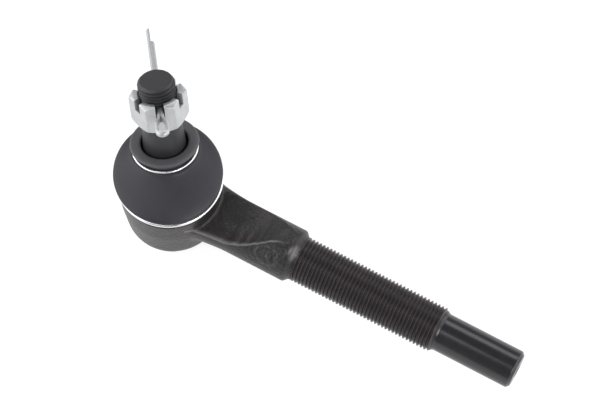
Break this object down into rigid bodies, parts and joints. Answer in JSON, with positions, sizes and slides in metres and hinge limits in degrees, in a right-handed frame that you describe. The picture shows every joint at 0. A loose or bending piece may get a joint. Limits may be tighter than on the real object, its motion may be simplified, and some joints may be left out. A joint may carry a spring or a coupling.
{
  "type": "tie rod end",
  "caption": "Outer tie rod end: forged ball joint housing with a threaded shank and plain pilot, a swinging tapered ball stud with castle nut and cotter pin, and a rubber dust boot.",
  "frame": {"origin": "centre of the ball", "axes": "+Z along the housing's socket axis towards the stud side, +X along the threaded shank towards its tip"},
  "size_m": [0.1849, 0.0657, 0.0732],
  "materials": {
    "black_paint": "black satin paint over a rough forging",
    "race": "greased bearing liner",
    "spring_steel": "oiled spring steel",
    "cover_steel": "black painted pressed steel",
    "boot_rubber": "satin black rubber",
    "bright_ring": "bright plated wire",
    "stud_steel": "black phosphate over machined steel",
    "nut_zinc": "bright zinc plate",
    "pin_zinc": "zinc plated wire"
  },
  "bodies": {
    "housing": {"housing": "black_paint", "upper_race": "race", "preload_spring": "spring_steel", "end_cover": "cover_steel", "boot_lower_ring": "bright_ring"},
    "seat": {"ball_seat": "race", "dust_boot": "boot_rubber"},
    "boot_neck": {"boot_upper_ring": "bright_ring"},
    "stud": {"ball_stud": "stud_steel", "castle_nut": "nut_zinc"},
    "cotter": {"cotter_pin": "pin_zinc"}
  },
  "joints": [
    {"name": "swing_direction", "type": "hinge", "parent": "housing", "child": "seat", "pos_m": [0, 0, 0], "axis": [0, 0, 1], "continuous": true},
    {"name": "stud_swing", "type": "hinge", "parent": "seat", "child": "boot_neck", "pos_m": [0, 0, 0], "axis": [-0.7934, -0.6088, 0], "range_deg": [-24, 4], "deforming": ["dust_boot"]},
    {"name": "stud_spin", "type": "hinge", "parent": "boot_neck", "child": "stud", "pos_m": [0, 0, 0], "axis": [-0.2476, 0.3227, 0.9135], "continuous": true},
    {"name": "cotter_pull", "type": "slide", "parent": "stud", "child": "cotter", "axis": [0.5561, -0.7248, 0.4067], "range_m": [0, 0.055]}
  ]
}
